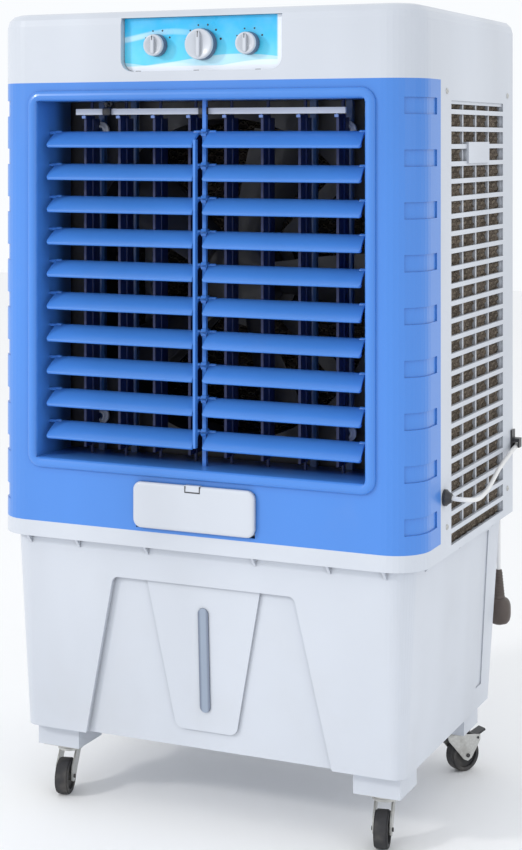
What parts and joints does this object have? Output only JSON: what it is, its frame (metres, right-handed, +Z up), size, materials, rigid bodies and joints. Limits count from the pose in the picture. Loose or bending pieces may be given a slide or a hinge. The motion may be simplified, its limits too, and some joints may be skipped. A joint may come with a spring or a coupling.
{
  "type": "evaporative cooler",
  "caption": "Mobile evaporative cooler: blue louvred outlet in front, grilles over wetted pads on sides and rear, knobs on top and a white water tank on swivel casters.",
  "frame": {"origin": "on the floor under the middle of the cooler's box, its mains lead left out", "axes": "+Z up, -Y out of the air outlet, +X to the right as seen from the front"},
  "size_m": [0.7394, 0.523, 1.21],
  "materials": {
    "blue_plastic": "moulded, satin gloss",
    "white_plastic": "moulded, satin gloss",
    "panel_label": "printed film with a clear cover",
    "pad_cellulose": "corrugated cellulose, dry",
    "black_plastic": "moulded, fine grain",
    "grey_plastic": "moulded",
    "gauge_clear": "clear, smoky blue",
    "float_red": "moulded",
    "float_orange": "moulded",
    "motor_paint": "semi-gloss enamel",
    "zinc_steel": "bright zinc plate",
    "wheel_rubber": "moulded, worn tread",
    "lead_sheath": "smooth PVC sheath"
  },
  "bodies": {
    "cabinet": {"top_cap": "white_plastic", "front_frame": "blue_plastic", "body_shell": "white_plastic", "water_tank": "white_plastic", "control_plate": "panel_label", "side_grilles": "white_plastic", "rear_grille": "white_plastic", "cooling_pads": "pad_cellulose", "fan_shroud": "black_plastic", "fan_motor": "motor_paint", "water_pump": "black_plastic", "water_distributor": "grey_plastic", "level_gauge": "gauge_clear", "swing_motor": "zinc_steel", "cable_gland": "black_plastic", "mains_lead": "lead_sheath", "lead_coil": "lead_sheath", "mains_plug": "black_plastic", "cord_hook": "white_plastic", "inlet_valve": "grey_plastic", "drain_plug": "grey_plastic", "caster_plates": "zinc_steel"},
    "fan_impeller": {"fan_impeller": "black_plastic"},
    "level_float": {"level_float": "float_red"},
    "fill_flap": {"fill_flap": "white_plastic"},
    "knob_cool": {"knob_cool": "white_plastic"},
    "knob_speed": {"knob_speed": "white_plastic"},
    "knob_swing": {"knob_swing": "white_plastic"},
    "swing_crank": {"swing_crank": "black_plastic"},
    "vane_link": {"vane_link": "white_plastic"},
    "louvre_link": {"louvre_link": "blue_plastic"},
    "valve_float": {"valve_float": "float_orange"},
    "louvre_01": {"louvre_01": "blue_plastic"},
    "louvre_02": {"louvre_02": "blue_plastic"},
    "louvre_03": {"louvre_03": "blue_plastic"},
    "louvre_04": {"louvre_04": "blue_plastic"},
    "louvre_05": {"louvre_05": "blue_plastic"},
    "louvre_06": {"louvre_06": "blue_plastic"},
    "louvre_07": {"louvre_07": "blue_plastic"},
    "louvre_08": {"louvre_08": "blue_plastic"},
    "louvre_09": {"louvre_09": "blue_plastic"},
    "louvre_10": {"louvre_10": "blue_plastic"},
    "vane_01": {"vane_01": "blue_plastic"},
    "vane_02": {"vane_02": "blue_plastic"},
    "vane_03": {"vane_03": "blue_plastic"},
    "vane_04": {"vane_04": "blue_plastic"},
    "vane_05": {"vane_05": "blue_plastic"},
    "vane_06": {"vane_06": "blue_plastic"},
    "vane_07": {"vane_07": "blue_plastic"},
    "vane_08": {"vane_08": "blue_plastic"},
    "caster_fl": {"caster_fork_fl": "zinc_steel"},
    "wheel_fl": {"caster_wheel_fl": "wheel_rubber"},
    "caster_fr": {"caster_fork_fr": "zinc_steel"},
    "wheel_fr": {"caster_wheel_fr": "wheel_rubber"},
    "caster_rl": {"caster_fork_rl": "zinc_steel"},
    "wheel_rl": {"caster_wheel_rl": "wheel_rubber"},
    "caster_rr": {"caster_fork_rr": "zinc_steel"},
    "wheel_rr": {"caster_wheel_rr": "wheel_rubber"},
    "pedal_rl": {"brake_pedal_rl": "black_plastic"},
    "pedal_rr": {"brake_pedal_rr": "black_plastic"}
  },
  "joints": [
    {"name": "fan_spin", "type": "hinge", "parent": "cabinet", "child": "fan_impeller", "pos_m": [0, -0.0855, 0.805], "axis": [0, 1, 0], "continuous": true},
    {"name": "louvre_01_tilt", "type": "hinge", "parent": "cabinet", "child": "louvre_01", "pos_m": [0, -0.216, 1.028], "axis": [1, 0, 0], "range_deg": [-55, 20]},
    {"name": "louvre_02_tilt", "type": "hinge", "parent": "cabinet", "child": "louvre_02", "pos_m": [0, -0.216, 0.9786], "axis": [1, 0, 0], "range_deg": [-55, 20]},
    {"name": "louvre_03_tilt", "type": "hinge", "parent": "cabinet", "child": "louvre_03", "pos_m": [0, -0.216, 0.9292], "axis": [1, 0, 0], "range_deg": [-55, 20]},
    {"name": "louvre_04_tilt", "type": "hinge", "parent": "cabinet", "child": "louvre_04", "pos_m": [0, -0.216, 0.8798], "axis": [1, 0, 0], "range_deg": [-55, 20]},
    {"name": "louvre_05_tilt", "type": "hinge", "parent": "cabinet", "child": "louvre_05", "pos_m": [0, -0.216, 0.8304], "axis": [1, 0, 0], "range_deg": [-55, 20]},
    {"name": "louvre_06_tilt", "type": "hinge", "parent": "cabinet", "child": "louvre_06", "pos_m": [0, -0.216, 0.781], "axis": [1, 0, 0], "range_deg": [-55, 20]},
    {"name": "louvre_07_tilt", "type": "hinge", "parent": "cabinet", "child": "louvre_07", "pos_m": [0, -0.216, 0.7316], "axis": [1, 0, 0], "range_deg": [-55, 20]},
    {"name": "louvre_08_tilt", "type": "hinge", "parent": "cabinet", "child": "louvre_08", "pos_m": [0, -0.216, 0.6822], "axis": [1, 0, 0], "range_deg": [-55, 20]},
    {"name": "louvre_09_tilt", "type": "hinge", "parent": "cabinet", "child": "louvre_09", "pos_m": [0, -0.216, 0.6328], "axis": [1, 0, 0], "range_deg": [-55, 20]},
    {"name": "louvre_10_tilt", "type": "hinge", "parent": "cabinet", "child": "louvre_10", "pos_m": [0, -0.216, 0.5834], "axis": [1, 0, 0], "range_deg": [-55, 20]},
    {"name": "louvre_link_pin", "type": "hinge", "parent": "louvre_01", "child": "louvre_link", "pos_m": [-0.0055, -0.23934, 1.01251], "axis": [1, 0, 0], "range_deg": [-20, 55]},
    {"name": "vane_01_swing", "type": "hinge", "parent": "cabinet", "child": "vane_01", "pos_m": [-0.20825, -0.1875, 0.8], "axis": [0, 0, 1], "range_deg": [-30, 30]},
    {"name": "vane_02_swing", "type": "hinge", "parent": "cabinet", "child": "vane_02", "pos_m": [-0.14875, -0.1875, 0.8], "axis": [0, 0, 1], "range_deg": [-30, 30]},
    {"name": "vane_03_swing", "type": "hinge", "parent": "cabinet", "child": "vane_03", "pos_m": [-0.08925, -0.1875, 0.8], "axis": [0, 0, 1], "range_deg": [-30, 30]},
    {"name": "vane_04_swing", "type": "hinge", "parent": "cabinet", "child": "vane_04", "pos_m": [-0.02975, -0.1875, 0.8], "axis": [0, 0, 1], "range_deg": [-30, 30]},
    {"name": "vane_05_swing", "type": "hinge", "parent": "cabinet", "child": "vane_05", "pos_m": [0.02975, -0.1875, 0.8], "axis": [0, 0, 1], "range_deg": [-30, 30]},
    {"name": "vane_06_swing", "type": "hinge", "parent": "cabinet", "child": "vane_06", "pos_m": [0.08925, -0.1875, 0.8], "axis": [0, 0, 1], "range_deg": [-30, 30]},
    {"name": "vane_07_swing", "type": "hinge", "parent": "cabinet", "child": "vane_07", "pos_m": [0.14875, -0.1875, 0.8], "axis": [0, 0, 1], "range_deg": [-30, 30]},
    {"name": "vane_08_swing", "type": "hinge", "parent": "cabinet", "child": "vane_08", "pos_m": [0.20825, -0.1875, 0.8], "axis": [0, 0, 1], "range_deg": [-30, 30]},
    {"name": "vane_link_pin", "type": "hinge", "parent": "vane_01", "child": "vane_link", "pos_m": [-0.20825, -0.2115, 1.06], "axis": [0, 0, 1], "range_deg": [-30, 30]},
    {"name": "crank_turn", "type": "hinge", "parent": "cabinet", "child": "swing_crank", "pos_m": [-0.168, -0.2045, 1.07], "axis": [0, 0, 1], "continuous": true},
    {"name": "knob_cool_turn", "type": "hinge", "parent": "cabinet", "child": "knob_cool", "pos_m": [-0.067, -0.2425, 1.1575], "axis": [0, 1, 0], "range_deg": [0, 90]},
    {"name": "knob_speed_turn", "type": "hinge", "parent": "cabinet", "child": "knob_speed", "pos_m": [0.008, -0.2425, 1.1575], "axis": [0, 1, 0], "range_deg": [0, 270]},
    {"name": "knob_swing_turn", "type": "hinge", "parent": "cabinet", "child": "knob_swing", "pos_m": [0.083, -0.2425, 1.1575], "axis": [0, 1, 0], "range_deg": [0, 90]},
    {"name": "flap_tilt", "type": "hinge", "parent": "cabinet", "child": "fill_flap", "pos_m": [0, -0.2495, 0.448], "axis": [1, 0, 0], "range_deg": [0, 30]},
    {"name": "level_float_slide", "type": "slide", "parent": "cabinet", "child": "level_float", "axis": [0, -0.0529, 0.9986], "range_m": [0, 0.124]},
    {"name": "valve_float_swing", "type": "hinge", "parent": "cabinet", "child": "valve_float", "pos_m": [-0.23, 0.1635, 0.366], "axis": [1, 0, 0], "range_deg": [-25, 0]},
    {"name": "swivel_fl", "type": "hinge", "parent": "cabinet", "child": "caster_fl", "pos_m": [-0.263, -0.1605, 0.068], "axis": [0, 0, 1], "continuous": true},
    {"name": "roll_fl", "type": "hinge", "parent": "caster_fl", "child": "wheel_fl", "pos_m": [-0.25647, -0.1867, 0.027], "axis": [0.9703, 0.2419, 0], "continuous": true},
    {"name": "swivel_fr", "type": "hinge", "parent": "cabinet", "child": "caster_fr", "pos_m": [0.263, -0.1605, 0.068], "axis": [0, 0, 1], "continuous": true},
    {"name": "roll_fr", "type": "hinge", "parent": "caster_fr", "child": "wheel_fr", "pos_m": [0.26861, -0.18691, 0.027], "axis": [0.9781, 0.2079, 0], "continuous": true},
    {"name": "swivel_rl", "type": "hinge", "parent": "cabinet", "child": "caster_rl", "pos_m": [-0.263, 0.1395, 0.068], "axis": [0, 0, 1], "continuous": true},
    {"name": "roll_rl", "type": "hinge", "parent": "caster_rl", "child": "wheel_rl", "pos_m": [-0.27568, 0.16334, 0.027], "axis": [-0.8829, -0.4695, 0], "continuous": true},
    {"name": "brake_rl", "type": "hinge", "parent": "caster_rl", "child": "pedal_rl", "pos_m": [-0.28553, 0.18188, 0.052], "axis": [-0.8829, -0.4695, 0], "range_deg": [0, 25]},
    {"name": "swivel_rr", "type": "hinge", "parent": "cabinet", "child": "caster_rr", "pos_m": [0.263, 0.1395, 0.068], "axis": [0, 0, 1], "continuous": true},
    {"name": "roll_rr", "type": "hinge", "parent": "caster_rr", "child": "wheel_rr", "pos_m": [0.27771, 0.16214, 0.027], "axis": [-0.8387, 0.5446, 0], "continuous": true},
    {"name": "brake_rr", "type": "hinge", "parent": "caster_rr", "child": "pedal_rr", "pos_m": [0.28914, 0.17976, 0.052], "axis": [-0.8387, 0.5446, 0], "range_deg": [0, 25]}
  ],
  "couplings": [
    {"joint": "louvre_02_tilt", "follows": "louvre_01_tilt", "ratio": 1},
    {"joint": "louvre_03_tilt", "follows": "louvre_01_tilt", "ratio": 1},
    {"joint": "louvre_04_tilt", "follows": "louvre_01_tilt", "ratio": 1},
    {"joint": "louvre_05_tilt", "follows": "louvre_01_tilt", "ratio": 1},
    {"joint": "louvre_06_tilt", "follows": "louvre_01_tilt", "ratio": 1},
    {"joint": "louvre_07_tilt", "follows": "louvre_01_tilt", "ratio": 1},
    {"joint": "louvre_08_tilt", "follows": "louvre_01_tilt", "ratio": 1},
    {"joint": "louvre_09_tilt", "follows": "louvre_01_tilt", "ratio": 1},
    {"joint": "louvre_10_tilt", "follows": "louvre_01_tilt", "ratio": 1},
    {"joint": "louvre_link_pin", "follows": "louvre_01_tilt", "ratio": -1},
    {"joint": "vane_02_swing", "follows": "vane_01_swing", "ratio": 1},
    {"joint": "vane_03_swing", "follows": "vane_01_swing", "ratio": 1},
    {"joint": "vane_04_swing", "follows": "vane_01_swing", "ratio": 1},
    {"joint": "vane_05_swing", "follows": "vane_01_swing", "ratio": 1},
    {"joint": "vane_06_swing", "follows": "vane_01_swing", "ratio": 1},
    {"joint": "vane_07_swing", "follows": "vane_01_swing", "ratio": 1},
    {"joint": "vane_08_swing", "follows": "vane_01_swing", "ratio": 1},
    {"joint": "vane_link_pin", "follows": "vane_01_swing", "ratio": -1}
  ]
}
